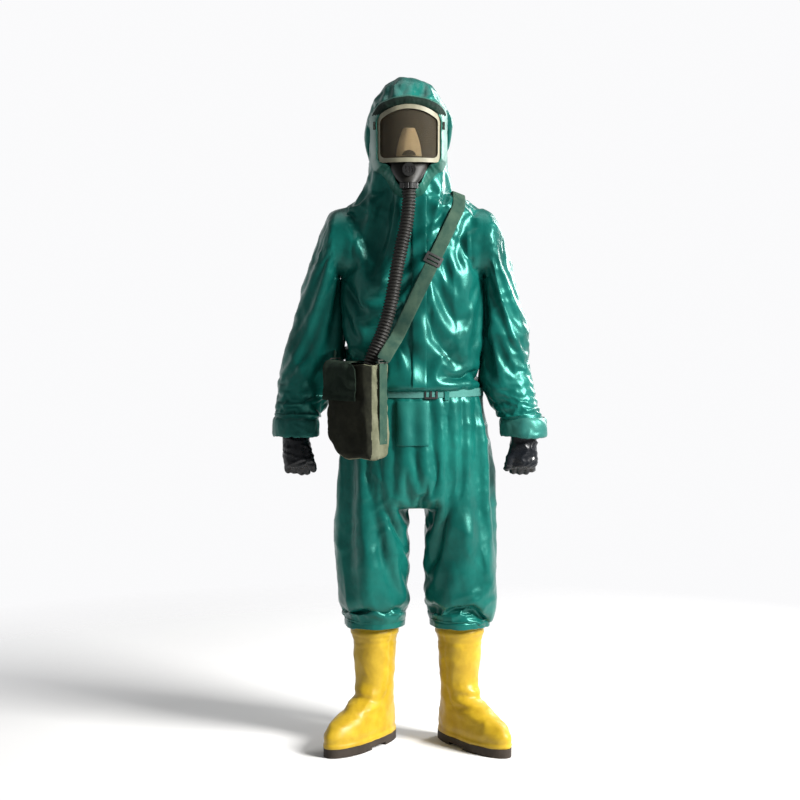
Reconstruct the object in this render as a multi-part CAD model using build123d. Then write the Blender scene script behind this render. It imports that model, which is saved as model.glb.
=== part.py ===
"""Chemical protective suit, standing as worn: hooded coverall, gas mask with hose and satchel, gloves, boots.

Millimetres, +Z up. The suit faces -Y, and +X is the wearer's left. It stands on its soles at z = 0.
"""

import os
from math import cos, radians, sin, tan

from build123d import *

# ---------------------------------------------------------------- driving dimensions
WALL = 3.0  # coated fabric with its lining, as modelled
GAP = 0.4  # running gap between bodies

# Trunk of the coverall: (z, half width, half depth, centre x, centre y)
TRUNK = [
    (660, 212, 140, 12, 0),
    (760, 209, 148, 8, 0),
    (860, 197, 143, 4, 0),
    (950, 184, 132, 0, 0),
    (1040, 176, 133, 0, 0),
    (1150, 178, 138, 0, 0),
    (1260, 183, 136, 0, 0),
    (1340, 185, 126, 0, 0),
    (1400, 176, 114, -2, -2),
    (1440, 148, 105, -4, -5),
    (1476, 112, 98, -8, -10),
]
HOOD = [
    (1476, 112, 98, -8, -10),
    (1516, 104, 101, -10, -12),
    (1556, 103, 107, -11, -12),
    (1600, 107, 114, -12, -12),
    (1640, 111, 118, -12, -12),
    (1680, 109, 116, -12, -11),
    (1717, 96, 103, -11, -10),
    (1745, 76, 83, -10, -9),
    (1765, 48, 54, -9, -8),
    (1774, 26, 30, -9, -8),
]
SEAT_TOP = 945  # the trunk shell ends here, under the belt
CROTCH = 660

# Legs
LEG_MID_X = 14
THIGH_TOP, KNEE_TOP, KNEE_BOTTOM, SHIN_BOTTOM, HEM_BOTTOM = 620, 525, 415, 335, 303
# (z, half width, half depth, distance from the leg mid-line, centre y)
LEG = {
    "top": (760, 92, 108, 113, 0),
    "thigh": (THIGH_TOP, 98, 110, 113, 0),
    "mid_thigh": (572, 98.5, 108, 112.5, 0),
    "knee_top": (KNEE_TOP, 96, 104, 111, 0),
    "knee_bottom": (KNEE_BOTTOM, 90, 97, 112, 0),
    "shin_end": (SHIN_BOTTOM, 77, 85, 114, 2),
    "hem_end": (HEM_BOTTOM, 70, 76, 114, 4),
}

# Arms: the armhole is a circle about the shoulder's own axis, so that the sleeve turns in it
SHOULDER_X, SHOULDER_Z, ARMHOLE_R = 188.0, 1342.0, 92.0
ELBOW_TOP, ELBOW_Z, ELBOW_BOTTOM = 1136, 1070, 1004
CUFF_TOP, CUFF_BOTTOM = 880, 832
# centre x of the sleeve at the elbow's top, middle and bottom, at mid forearm and at the cuff
ARM_X = {"left": (256, 257, 262, 281, 296), "right": (258, 278, 292, 298, 306)}
CUFF_Y = -36

# Mask: visor outline in the face plane, about MASK_X
MASK_X = -9
VISOR_HALF, VISOR_BOTTOM, VISOR_SIDE_TOP, VISOR_TOP = 78, 1552, 1655, 1684
VISOR_R, VISOR_T, VISOR_AXIS_Y = 96.0, 2.5, -69.0
FRAME_SPLIT_Z = 1640
FACE_BACK_Y = -62
PORT = (MASK_X, -150)  # vertical axis of the chin port
VALVE_Z = 1526  # exhalation valve in the chin

# Satchel, in its own turned frame: front faces -y, hose end at +x
BAG_AT, BAG_TURN = (-143, -166), -38
BAG_BOTTOM, BAG_TOP, BAG_DEPTH, BAG_LEFT, BAG_RIGHT = 788, 1030, 80, -74, 82
BAG_WALL = 2.5
FLAP_RIGHT, FLAP_LOW = 6, 938
CANISTER_X, CANISTER_R, CANISTER_TOP = 28, 33, 925
RING_Y, RING_Z = 10, 1046

# Breathing hose
HOSE_R = 17.0
HOSE_TOP, HOSE_END = 1478, 945
HOSE_BENDS = [(-9, -150, 1412), (-36, -168, 1300), (-62, -170, 1140)]

# Satchel strap
STRAP_W, STRAP_T, STRAP_OFF = 36, 2.5, 4.4
STRAP_SHOULDER = (122, 1450)
STRAP_FRONT_RUN, STRAP_BACK_RUN = (-40, 1085), (-186, 1010)

# Boots, in a frame at the ankle, toes to -Y: (z, toe centre y, toe radius, heel centre y, heel radius)
BOOT = [
    (24, -158, 47, 44, 38),
    (48, -162, 48, 44, 39),
    (72, -142, 43, 42, 38),
    (98, -86, 42, 36, 39),
    (126, -34, 47, 24, 45),
    (160, -10, 51, 12, 50),
    (240, -9, 55, 11, 54),
    (350, -8, 60, 8, 60),
]
SOLE_T, TOE_OUT, BOOT_WALL = 24, 36, 3.0


def oval(half_x, half_y):
    """Closed oval face about the origin, always started on +X so that lofts don't twist."""
    steps = 16
    turns = [radians(360 * i / steps) for i in range(steps)]
    points = [(half_x * cos(turn), half_y * sin(turn)) for turn in turns]
    return make_face(Spline(*points, periodic=True))


def loft_up(sections, grow=0.0, straight=False):
    """Solid through level ovals (z, half width, half depth, x, y), each grown outwards."""
    faces = [Pos(x, y, z) * oval(hx + grow, hy + grow) for z, hx, hy, x, y in sections]
    return loft(faces, ruled=straight or len(faces) == 2)


def tube(sections, wall=WALL, straight=False):
    """Open-ended shell through level ovals."""
    return loft_up(sections, 0.0, straight) - loft_up(sections, -wall, straight)


def level_slab(low, high, size=900):
    return Pos(0, 0, (low + high) / 2) * Box(size, size, high - low)


def at_leg(side, name):
    """A leg section as (z, half width, half depth, x, y); side is -1 on the wearer's right."""
    z, hx, hy, spread, y = LEG[name]
    return (z, hx, hy, LEG_MID_X + side * spread, y)


# ---------------------------------------------------------------- coverall
def shoulder_stub(side, grow=0.0, inner_x=80.0, extra=0.0):
    """Round stub from the trunk to the armhole plane."""
    length = SHOULDER_X + extra - inner_x
    stub = Cylinder(ARMHOLE_R + grow, length, rotation=(0, 90, 0))
    return Pos(side * (inner_x + length / 2), 0, SHOULDER_Z) * stub


def trunk_solid(grow=0.0, extra=0.0):
    body = loft_up(TRUNK, grow)
    for side in (-1, 1):
        body += shoulder_stub(side, grow, extra=extra)
    return body


def suit_torso():
    shell = trunk_solid() - trunk_solid(-WALL, extra=20)
    return shell & level_slab(SEAT_TOP, TRUNK[-1][0])


def leg_stub(side, grow=0.0, low=THIGH_TOP):
    return loft_up([(low, *at_leg(side, "thigh")[1:]), at_leg(side, "top")], grow)


def trouser_seat():
    """Hip and crotch section, from the belt to the top of both thighs."""
    outer = loft_up(TRUNK) & level_slab(CROTCH, SEAT_TOP)
    inner = loft_up(TRUNK, -WALL) & level_slab(CROTCH + WALL, SEAT_TOP)
    for side in (-1, 1):
        outer += leg_stub(side)
        inner += leg_stub(side, -WALL)
    return outer - inner


def leg_tube(side, *names):
    """Piece of trouser leg with straight runs between its named rows."""
    return tube([at_leg(side, name) for name in names], straight=True)


def sleeve_sections(side):
    """Planes and half sizes from the armhole ring round to the level end above the elbow."""
    x_end = ARM_X["right" if side < 0 else "left"][0]
    half_end = 66
    rows = [  # inner point, outer point (x, z), half depth
        ((SHOULDER_X + GAP, SHOULDER_Z - ARMHOLE_R), (SHOULDER_X + GAP, SHOULDER_Z + ARMHOLE_R), ARMHOLE_R),
        ((191, 1225), (268, 1316), 81),
        ((x_end - half_end, ELBOW_TOP), (x_end + half_end, ELBOW_TOP), 66),
    ]
    made = []
    for (xi, zi), (xo, zo), depth in rows:
        middle = ((xi + xo) / 2 * side, 0, (zi + zo) / 2)
        across = Vector((xo - xi) * side, 0, zo - zi)
        normal = Vector(0, 1, 0).cross(across)
        made.append((Plane(middle, x_dir=across, z_dir=normal), across.length / 2, depth))
    return made


def upper_sleeve(side):
    sections = sleeve_sections(side)
    outer = loft([plane * oval(half, depth) for plane, half, depth in sections])
    inner = loft([plane * oval(half - WALL, depth - WALL) for plane, half, depth in sections])
    return outer - inner


def arm_sections(side):
    """Level sections below the upper sleeve."""
    xs = [side * x for x in ARM_X["right" if side < 0 else "left"]]
    return [
        (ELBOW_TOP, 66, 66, xs[0], 0),
        (ELBOW_Z, 65, 66, xs[1], -1),
        (ELBOW_BOTTOM, 63, 64, xs[2], -6),
        (935, 60, 60, xs[3], -20),
        (CUFF_TOP, 56, 57, xs[4], CUFF_Y + 5),
    ]


def elbow_bend(side):
    return tube(arm_sections(side)[:3])


def forearm_sleeve(side):
    return tube(arm_sections(side)[2:])


def cuff_place(side):
    return side * ARM_X["right" if side < 0 else "left"][4], CUFF_Y


def sleeve_cuff(side):
    """Turned-up cuff band at the end of the sleeve."""
    x, y = cuff_place(side)
    rows = [(CUFF_TOP, 58, 58, x, y + 4), (CUFF_TOP - 14, 61, 61, x, y + 1), (CUFF_BOTTOM, 60, 60, x, y - 3)]
    return loft_up(rows) - loft_up(rows, -2 * WALL)


# ---------------------------------------------------------------- gloves
WRIST_R, PALM_TOP, KNUCKLE_Z = 36, 806, 748


def capsule(start, end, radius):
    """Rod with round ends between two points."""
    a, b = Vector(*start), Vector(*end)
    from_one_end = (Align.CENTER, Align.CENTER, Align.MIN)
    rod = Plane(a, z_dir=b - a) * Cylinder(radius, (b - a).length, align=from_one_end)
    return rod + Pos(*start) * Sphere(radius) + Pos(*end) * Sphere(radius)


def glove(side):
    """Rubber glove holding the shape of a loose fist, hollow to the knuckles."""
    x, y = cuff_place(side)
    y -= 6
    rows = [
        (862, WRIST_R, WRIST_R - 2, x, y + 8),
        (PALM_TOP + 20, 34, 31, x, y + 2),
        (PALM_TOP - 15, 39, 29, x - side * 2, y - 4),
        (KNUCKLE_Z + 12, 42, 28, x - side * 4, y - 8),
        (KNUCKLE_Z, 38, 24, x - side * 4, y - 9),
    ]
    outer, inner = loft_up(rows), loft_up(rows[:-1], -2.5)
    shape = outer
    for finger in range(4):  # little finger on the outside, index finger next to the body
        across = x - side * (4 + (finger - 1.5) * 19)
        reach = (0, 3, 4, 2)[finger]
        knuckle = (across, y - 8, KNUCKLE_Z + 2)
        middle = (across, y + 4, KNUCKLE_Z - 12 - reach)
        tip = (across, y + 26, KNUCKLE_Z - 2)
        shape += capsule(knuckle, middle, 9.5) + capsule(middle, tip, 9)
    base = (x - side * 34, y - 6, PALM_TOP - 22)
    joint = (x - side * 47, y - 16, KNUCKLE_Z + 16)
    tip = (x - side * 52, y - 15, KNUCKLE_Z - 2)
    shape += capsule(base, joint, 10.5) + capsule(joint, tip, 9.5)
    return shape - inner


def glove_ring(side):
    """Hard ring that clamps the glove's wrist inside the cuff."""
    x, y = cuff_place(side)
    low, high = CUFF_BOTTOM + 14, CUFF_BOTTOM + 26
    outer = loft_up([(low, 53.2, 53.2, x, y), (high, 53.2, 53.2, x, y + 1)])
    hole = loft_up([(low, 37.5, 35.5, x, y - 0.5), (high, 38.0, 36.0, x, y + 0.8)])
    return outer - hole


# ---------------------------------------------------------------- boots
def foot_face(toe_y, toe_r, heel_y, heel_r):
    """Foot-shaped face: an oval that is as wide as the toe in front and as the heel behind."""
    steps = 20
    points = []
    for i in range(steps):
        turn = radians(360 * i / steps)
        front = (1 - sin(turn)) / 2
        half = heel_r + (toe_r - heel_r) * front
        reach = (toe_y - toe_r) * front + (heel_y + heel_r) * (1 - front)
        points.append((half * cos(turn) * (1 + 0.10 * abs(sin(2 * turn))), reach))
    return make_face(Spline(*points, periodic=True))


def boot_place(side):
    return Pos(LEG_MID_X + side * LEG["hem_end"][3], 4, 0) * Rot(0, 0, side * TOE_OUT)


def boot_solid(grow, floor):
    rows = [(max(z, floor), toe_y, toe_r, heel_y, heel_r) for z, toe_y, toe_r, heel_y, heel_r in BOOT]
    faces = [Pos(0, 0, z) * foot_face(ty, tr + grow, hy, hr + grow) for z, ty, tr, hy, hr in rows]
    return loft(faces, ruled=True)


def boot_upper(side):
    """Moulded boot shaft and foot in one shell."""
    return boot_place(side) * (boot_solid(0, SOLE_T) - boot_solid(-BOOT_WALL, SOLE_T + BOOT_WALL))


def boot_sole(side):
    """Sole with a raised heel block, an arch and a row of cleats."""
    _, toe_y, toe_r, heel_y, heel_r = BOOT[0]
    plate = extrude(foot_face(toe_y, toe_r + 3, heel_y, heel_r + 3), SOLE_T)
    arch = Pos(0, -42, 2) * Box(120, 62, 12)
    sole = plate - arch
    groove = Box(120, 4, 8)
    for step in range(6):
        sole -= Pos(0, -96 - step * 17, 0) * groove
    for step in range(3):
        sole -= Pos(0, 14 + step * 20, 0) * groove
    return boot_place(side) * sole


def insole(side):
    _, toe_y, toe_r, heel_y, heel_r = BOOT[0]
    base = SOLE_T + BOOT_WALL
    pad = extrude(foot_face(toe_y, toe_r - 7, heel_y, heel_r - 7), 4)
    return boot_place(side) * Pos(0, 0, base) * pad


# ---------------------------------------------------------------- hood and mask
def visor_prism(grow, start=-75):
    """Visor outline run forwards from y = start: straight sides and bottom, arched top."""
    half, low, top = VISOR_HALF + grow, VISOR_BOTTOM - grow, VISOR_TOP + grow
    side_top = VISOR_SIDE_TOP + grow / 2
    left = Line((-half, side_top), (-half, low))
    bottom = Line((-half, low), (half, low))
    right = Line((half, low), (half, side_top))
    arch = ThreePointArc((half, side_top), (0, top), (-half, side_top))
    outline = make_face([left, bottom, right, arch])
    rounded = fillet(outline.vertices(), 16 + grow / 2)
    return extrude(Plane((MASK_X, start, 0), x_dir=(1, 0, 0), z_dir=(0, -1, 0)) * rounded, 200)


def visor_barrel(radius):
    """Upright cylinder that the visor follows."""
    return Pos(MASK_X, VISOR_AXIS_Y, 1610) * Cylinder(radius, 300)


def barrel_band(outer, inner):
    return visor_barrel(outer) - visor_barrel(inner)


def mask_visor():
    return visor_prism(0) & barrel_band(VISOR_R, VISOR_R - VISOR_T)


def visor_frame(upper):
    """Half of the clamping band round the visor's edge, with a lip over its front."""
    band = (visor_prism(7) - visor_prism(0.2)) & barrel_band(VISOR_R + 5, VISOR_R - 5)
    lip = (visor_prism(2) - visor_prism(-4)) & barrel_band(VISOR_R + 5, VISOR_R + 0.2)
    half = level_slab(FRAME_SPLIT_Z + 0.3, 1720) if upper else level_slab(1520, FRAME_SPLIT_Z - 0.3)
    return (band + lip) & half


def frame_screws():
    """Clamp blocks with screw heads, one each side, that pull the frame halves together."""
    made = []
    for side in (-1, 1):
        block = Pos(MASK_X + side * 89, -123, FRAME_SPLIT_Z) * Box(6, 9, 20)
        for z in (-5, 5):
            block += Pos(MASK_X + side * 89, -129, FRAME_SPLIT_Z + z) * Cylinder(2.6, 4, rotation=(90, 0, 0))
        made.append(block)
    return Compound(made)


def chin_rows():
    return [(1548, 52, 34, MASK_X, -118), (1512, 38, 31, MASK_X, -136), (1494, 24, 24, MASK_X, PORT[1])]


def valve_rod(radius, back, front):
    """Rod on the exhalation valve's axis, which points forwards from the chin."""
    return Pos(MASK_X, (back + front) / 2, VALVE_Z) * Cylinder(radius, back - front, rotation=(90, 0, 0))


def mask_facepiece():
    """Rubber skirt behind the frame, with the chin cup and the neck that carries the hose."""
    shape = (visor_prism(6, FACE_BACK_Y) - visor_prism(2, FACE_BACK_Y + 5)) & visor_barrel(VISOR_R - 5.2)
    shape += loft_up(chin_rows())
    shape += Pos(*PORT, (HOSE_TOP + 1498) / 2) * Cylinder(16, 1498 - HOSE_TOP)
    shape -= loft_up([(1560, 48, 30, MASK_X, -114), chin_rows()[1], (1498, 24, 24, MASK_X, PORT[1])], -4)
    shape -= Pos(*PORT, 1490) * Cylinder(12, 40)
    return shape - valve_rod(14.2, -140, -200) - valve_rod(17.3, -166.5, -200)


def valve_seat():
    ring = valve_rod(14, -154, -170) + valve_rod(17, -167, -170)
    return ring - valve_rod(9, -140, -180) + (valve_rod(10, -166, -168) & valve_spider())


def valve_spider():
    """Three thin arms across the valve's hole."""
    arms = Pos(MASK_X, -167, VALVE_Z) * Box(24, 30, 2)
    for turn in (60, 120):
        arms += Pos(MASK_X, -167, VALVE_Z) * Rot(0, turn, 0) * Box(24, 30, 2)
    return arms


def valve_disc():
    return valve_rod(12, -170.1, -171.1) + valve_rod(2, -171.1, -172.0)


def valve_cover():
    """Cap over the disc, with outlet slots."""
    cap = valve_rod(17, -170.1, -179) - valve_rod(14, -170, -177)
    for step in (-8, 0, 8):
        cap -= Pos(MASK_X + step, -178, VALVE_Z) * Box(2.6, 4, 16)
    return cap


def nose_cup():
    """Inner mask over nose and mouth, open towards the face."""
    rows = [(1562, 33, 26, MASK_X, -122), (1600, 27, 27, MASK_X, -122), (1634, 15, 17, MASK_X, -118)]
    cup = loft_up(rows) - loft_up([(1556, *rows[0][1:])] + rows[1:-1] + [(1630, *rows[2][1:])], -2.2)
    cup &= Pos(MASK_X, -190, 1600) * Box(120, 200, 200)
    for side in (-1, 1):
        cup -= Pos(MASK_X + side * 30, -108, 1584) * Cylinder(8.5, 30, rotation=(0, 90, 0))
    return cup


def inhalation_discs():
    """Light flap discs in the sides of the inner mask."""
    return Compound(
        [Pos(MASK_X + side * 29, -108, 1584) * Cylinder(8, 1, rotation=(0, 90, 0)) for side in (-1, 1)]
    )


def head_harness():
    """Elastic straps round the back of the head and over the crown, under the hood."""
    shell = loft_up(HOOD[1:-1:2], -14) - loft_up(HOOD[1:-1:2], -16.5)
    bands = level_slab(1618, 1640) + level_slab(1560, 1578) + Pos(MASK_X, 100, 1660) * Box(24, 240, 200)
    return shell & bands & Pos(0, FACE_BACK_Y + 200, 1640) * Box(400, 400, 400)


def hood_shell():
    shell = loft_up(HOOD) - loft_up(HOOD[:-1] + [(HOOD[-1][0] - WALL, *HOOD[-1][1:])], -WALL)
    return shell - visor_prism(11.2, -20) - loft_up(chin_rows(), 1)


def hood_face_seal():
    """Elastic edge of the hood that grips the mask's frame."""
    ring = (visor_prism(11, -40) - visor_prism(7.4, -30)) & visor_barrel(VISOR_R + 2)
    return ring - loft_up(HOOD, -8) - loft_up(chin_rows(), 0.4)


def hose_nut(x, y, low, high, bore):
    """Ribbed union nut."""
    nut = Pos(x, y, (low + high) / 2) * (Cylinder(24, high - low) - Cylinder(bore, high - low))
    for step in range(12):
        turn = radians(step * 30)
        nut -= Pos(x + 25 * cos(turn), y + 25 * sin(turn), (low + high) / 2) * Cylinder(2.4, high - low)
    return nut


# ---------------------------------------------------------------- things laid on the trunk
def skin(low, high):
    """Layer that follows the trunk's surface between two heights above it."""
    return trunk_solid(high) - trunk_solid(low)


def front_box(x0, x1, z0, z1, front=True):
    y = -200 if front else 200
    return Pos((x0 + x1) / 2, y, (z0 + z1) / 2) * Box(x1 - x0, 400, z1 - z0)


def entry_flap():
    return skin(0.2, 3.4) & front_box(0, 36, 968, 1470)


def front_patch():
    return skin(0.2, 2.6) & front_box(-40, 43, 817, 932)


def waist_belt():
    return skin(0.4, 5.0) & level_slab(941, 961)


def belt_loops():
    layer = skin(0.3, 8.0) - (skin(0.3, 5.3) & level_slab(940.7, 961.3))
    loops = []
    for x, front in ((-70, True), (90, True), (-90, False), (90, False)):
        loops.append(layer & front_box(x - 6, x + 6, 934, 967, front))
    return Compound(loops)


def belt_buckle():
    plate = skin(5.2, 7.6) & front_box(32, 66, 938, 964)
    return plate - front_box(36, 46, 943, 959) - front_box(51, 61, 943, 959)


def ribbon(start, end, front, width, over=0.0):
    """Straight band seen from the front, run right through one half of the trunk."""
    (x0, z0), (x1, z1) = start, end
    run = Vector(x1 - x0, 0, z1 - z0)
    length = run.length + over
    middle = Vector(x0, -200 if front else 200, z0) + run.normalized() * ((run.length - over) / 2)
    return Plane(middle, x_dir=run, z_dir=(0, 1, 0)) * Box(length, width, 400)


def strap_tail(start, end, across):
    """Flat length of webbing between two points in the open."""
    a, b = Vector(*start), Vector(*end)
    plane = Plane((a + b) / 2, x_dir=across, z_dir=b - a)
    return plane * Box(STRAP_W - 6, STRAP_T, (b - a).length)


def ring_points():
    """Where the strap's two ends come down to the satchel's rings, hose end first."""
    ends = [(BAG_RIGHT + 3, RING_Y, RING_Z + 12), (BAG_LEFT - 3, RING_Y, RING_Z + 20)]
    turn = radians(BAG_TURN)
    return [
        (BAG_AT[0] + x * cos(turn) - y * sin(turn), BAG_AT[1] + x * sin(turn) + y * cos(turn), z)
        for x, y, z in ends
    ]


def shoulder_strap():
    """Webbing over the wearer's left shoulder, with both ends brought out to the satchel."""
    layer = skin(STRAP_OFF, STRAP_OFF + STRAP_T)
    front = layer & ribbon(STRAP_SHOULDER, STRAP_FRONT_RUN, True, STRAP_W, 40)
    back = layer & ribbon(STRAP_SHOULDER, STRAP_BACK_RUN, False, STRAP_W, 40)
    hose_end, far_end = ring_points()
    x, z = STRAP_FRONT_RUN
    front += strap_tail((x + 2, -141, z + 6), hose_end, (0.9, 0.1, -0.4))
    back += strap_tail((-182, 14, 1026), far_end, (0, 0.1, 1))
    return front + back


def strap_slide():
    """Slide that sets the strap's length, on the chest."""
    layer = skin(STRAP_OFF + STRAP_T + 0.3, STRAP_OFF + STRAP_T + 2.8)
    frame = ribbon((60, 1310), (48, 1286), True, STRAP_W + 10)
    for start, end in (((57.5, 1305), (55.5, 1301)), ((52.5, 1295), (50.5, 1291))):
        frame -= ribbon(start, end, True, STRAP_W - 4)
    return layer & frame


# ---------------------------------------------------------------- satchel
BAG = Pos(*BAG_AT, 0) * Rot(0, 0, BAG_TURN)


def bag_block(grow, low, high, corner=15):
    """Upright block of the satchel's outline, with rounded corners."""
    width = BAG_RIGHT - BAG_LEFT + 2 * grow
    outline = RectangleRounded(width, BAG_DEPTH + 2 * grow, corner + grow)
    return Pos((BAG_RIGHT + BAG_LEFT) / 2, 0, low) * extrude(outline, high - low)


def satchel_shell():
    """Canvas bag, open at the top, with a stitched front pocket panel."""
    shell = bag_block(0, BAG_BOTTOM, BAG_TOP) - bag_block(-BAG_WALL, BAG_BOTTOM + BAG_WALL, BAG_TOP + 1)
    return BAG * shell


def satchel_flap():
    """Lid over the top, with an apron down the front; the hose passes beside it."""
    width = FLAP_RIGHT - BAG_LEFT - 1
    middle_x = (FLAP_RIGHT + BAG_LEFT + 1) / 2
    front = -BAG_DEPTH / 2 - 1
    lid_top = BAG_TOP + 3.7
    top = Pos(middle_x, -2, lid_top - 1.5) * Box(width, BAG_DEPTH + 4, 3)
    apron = Pos(middle_x, front - 1.5, (lid_top + FLAP_LOW) / 2) * Box(width, 3, lid_top - FLAP_LOW)
    return BAG * (top + apron)


def flap_buckle():
    """Small metal buckle on the apron."""
    x, y, z = FLAP_RIGHT - 16, -BAG_DEPTH / 2 - 5.3, FLAP_LOW + 22
    ring = Box(18, 2, 22) - Box(12, 3, 16)
    return BAG * Pos(x, y, z) * (ring + Box(2, 2, 18))


def satchel_hangers():
    """Webbing down both ends of the satchel, from the rings."""
    low, high = BAG_BOTTOM + 40, RING_Z - 12
    tabs = []
    for x in (BAG_LEFT - 1.4, BAG_RIGHT + 1.4):
        tabs.append(BAG * Pos(x, RING_Y - 6, (low + high) / 2) * Box(2, 30, high - low))
    return Compound(tabs)


def satchel_rings():
    """Oblong metal rings that join the strap to the hangers."""
    rings = []
    for x in (BAG_LEFT - 1.4, BAG_RIGHT + 1.4):
        loop = Box(3, 40, 10) - Box(4, 34, 4)
        rings.append(BAG * Pos(x, RING_Y - 6, RING_Z - 6.8) * loop)
    return Compound(rings)


def canister_place():
    turn = radians(BAG_TURN)
    return BAG_AT[0] + CANISTER_X * cos(turn), BAG_AT[1] + CANISTER_X * sin(turn)


def filter_canister():
    """Filter drum standing in the satchel, with a screw neck and rolled seams."""
    x, y = canister_place()
    low = BAG_BOTTOM + BAG_WALL + 2
    drum = Pos(x, y, (low + CANISTER_TOP) / 2) * Cylinder(CANISTER_R, CANISTER_TOP - low)
    neck_low, neck_high = CANISTER_TOP - 5, HOSE_END
    drum -= Pos(x, y, (low + CANISTER_TOP) / 2 - 1) * Cylinder(CANISTER_R - 1.5, CANISTER_TOP - low - 4)
    drum += Pos(x, y, (neck_low + neck_high) / 2) * Cylinder(16, neck_high - neck_low)
    return drum - Pos(x, y, HOSE_END) * Cylinder(12, 60)


def hose_route():
    x, y = canister_place()
    return [(*PORT, HOSE_TOP)] + HOSE_BENDS + [(x, y, 1012), (x, y, HOSE_END)]


def bend_radii(points):
    """Largest bend at each inner point that still fits its shorter neighbouring run."""
    radii = []
    for before, here, after in zip(points, points[1:], points[2:]):
        run_in, run_out = Vector(*here) - Vector(*before), Vector(*after) - Vector(*here)
        half_turn = radians(run_in.get_angle(run_out)) / 2
        radii.append(0.45 * min(run_in.length, run_out.length) / tan(half_turn))
    return radii


def breathing_hose():
    points = hose_route()
    radii = bend_radii(points)
    path = FilletPolyline(*points, radius=radii)
    section = Plane(points[0], z_dir=path % 0) * Circle(HOSE_R)
    hose = sweep(section, path)
    print("breathing hose: length", round(path.length), "bends", [round(r) for r in radii])
    print("  volume over section times length", round(hose.volume / (path.length * 3.14159 * HOSE_R**2), 4))
    return hose


# ---------------------------------------------------------------- all nodes
def nodes():
    """Every node by name."""
    made = {
        "suit_torso": suit_torso(),
        "trouser_seat": trouser_seat(),
        "hood_shell": hood_shell(),
        "hood_face_seal": hood_face_seal(),
        "entry_flap": entry_flap(),
        "front_patch": front_patch(),
        "waist_belt": waist_belt(),
        "belt_loops": belt_loops(),
        "belt_buckle": belt_buckle(),
        "mask_facepiece": mask_facepiece(),
        "mask_visor": mask_visor(),
        "visor_frame_upper": visor_frame(True),
        "visor_frame_lower": visor_frame(False),
        "frame_screws": frame_screws(),
        "nose_cup": nose_cup(),
        "inhalation_discs": inhalation_discs(),
        "valve_seat": valve_seat(),
        "valve_disc": valve_disc(),
        "valve_cover": valve_cover(),
        "head_harness": head_harness(),
        "hose_nut_upper": hose_nut(*PORT, HOSE_TOP + 1, 1493, 16.2),
        "breathing_hose": breathing_hose(),
        "hose_nut_lower": hose_nut(*canister_place(), CANISTER_TOP + 1, HOSE_END - 0.5, 16.2),
        "filter_canister": filter_canister(),
        "satchel_shell": satchel_shell(),
        "satchel_flap": satchel_flap(),
        "flap_buckle": flap_buckle(),
        "satchel_hangers": satchel_hangers(),
        "satchel_rings": satchel_rings(),
        "shoulder_strap": shoulder_strap(),
        "strap_slide": strap_slide(),
    }
    for name, side in (("right", -1), ("left", 1)):
        made["upper_sleeve_" + name] = upper_sleeve(side)
        made["elbow_bend_" + name] = elbow_bend(side)
        made["forearm_sleeve_" + name] = forearm_sleeve(side)
        made["sleeve_cuff_" + name] = sleeve_cuff(side)
        made["glove_" + name] = glove(side)
        made["glove_ring_" + name] = glove_ring(side)
        made["thigh_" + name] = leg_tube(side, "thigh", "mid_thigh", "knee_top")
        made["knee_bend_" + name] = leg_tube(side, "knee_top", "knee_bottom")
        made["shin_" + name] = leg_tube(side, "knee_bottom", "shin_end")
        made["trouser_hem_" + name] = leg_tube(side, "shin_end", "hem_end")
        made["boot_upper_" + name] = boot_upper(side)
        made["boot_sole_" + name] = boot_sole(side)
        made["boot_insole_" + name] = insole(side)
    return made


def centred(made):
    """All nodes shifted sideways so that the whole stands about the origin, soles at z = 0."""
    boxes = [shape.bounding_box() for shape in made.values()]
    x = (min(box.min.X for box in boxes) + max(box.max.X for box in boxes)) / 2
    y = (min(box.min.Y for box in boxes) + max(box.max.Y for box in boxes)) / 2
    z = min(box.min.Z for box in boxes)
    print("shift", round(-x, 3), round(-y, 3), round(-z, 3))
    return {name: shape.moved(Location((-x, -y, -z))) for name, shape in made.items()}


os.makedirs("parts", exist_ok=True)
for node_name, node_shape in centred(nodes()).items():
    size = node_shape.bounding_box().size
    print(node_name, len(node_shape.solids()), round(node_shape.volume), [round(v) for v in size])
    export_step(node_shape, "parts/" + node_name + ".step")
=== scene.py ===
"""Looks of the chemical protective suit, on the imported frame.

Sizes are in millimetres in the suit's own axes, as in the part; at() turns them into the row frame in metres.
"""

from math import atan, cos, pi, radians, sin

import bmesh
import bpy
import numpy as np
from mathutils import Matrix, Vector, noise
from mathutils.bvhtree import BVHTree


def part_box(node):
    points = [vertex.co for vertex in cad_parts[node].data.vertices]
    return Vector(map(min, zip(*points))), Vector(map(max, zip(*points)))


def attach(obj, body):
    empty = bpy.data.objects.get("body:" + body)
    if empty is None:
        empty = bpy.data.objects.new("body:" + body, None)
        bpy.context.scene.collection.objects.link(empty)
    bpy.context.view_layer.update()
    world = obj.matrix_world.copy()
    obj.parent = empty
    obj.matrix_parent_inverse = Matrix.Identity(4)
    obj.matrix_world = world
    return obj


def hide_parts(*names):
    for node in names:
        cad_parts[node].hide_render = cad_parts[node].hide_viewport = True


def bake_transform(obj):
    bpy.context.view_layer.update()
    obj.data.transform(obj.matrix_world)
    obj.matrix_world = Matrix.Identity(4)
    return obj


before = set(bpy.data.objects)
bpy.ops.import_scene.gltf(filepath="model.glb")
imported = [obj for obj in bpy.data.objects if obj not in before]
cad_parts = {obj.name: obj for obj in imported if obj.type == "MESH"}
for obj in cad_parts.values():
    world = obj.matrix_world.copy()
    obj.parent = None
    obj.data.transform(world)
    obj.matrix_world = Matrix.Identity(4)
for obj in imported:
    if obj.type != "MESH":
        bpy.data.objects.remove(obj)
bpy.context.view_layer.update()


# ------------------------------------------------------------------ places
def middle(node):
    low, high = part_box(node)
    return (low + high) / 2


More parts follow.
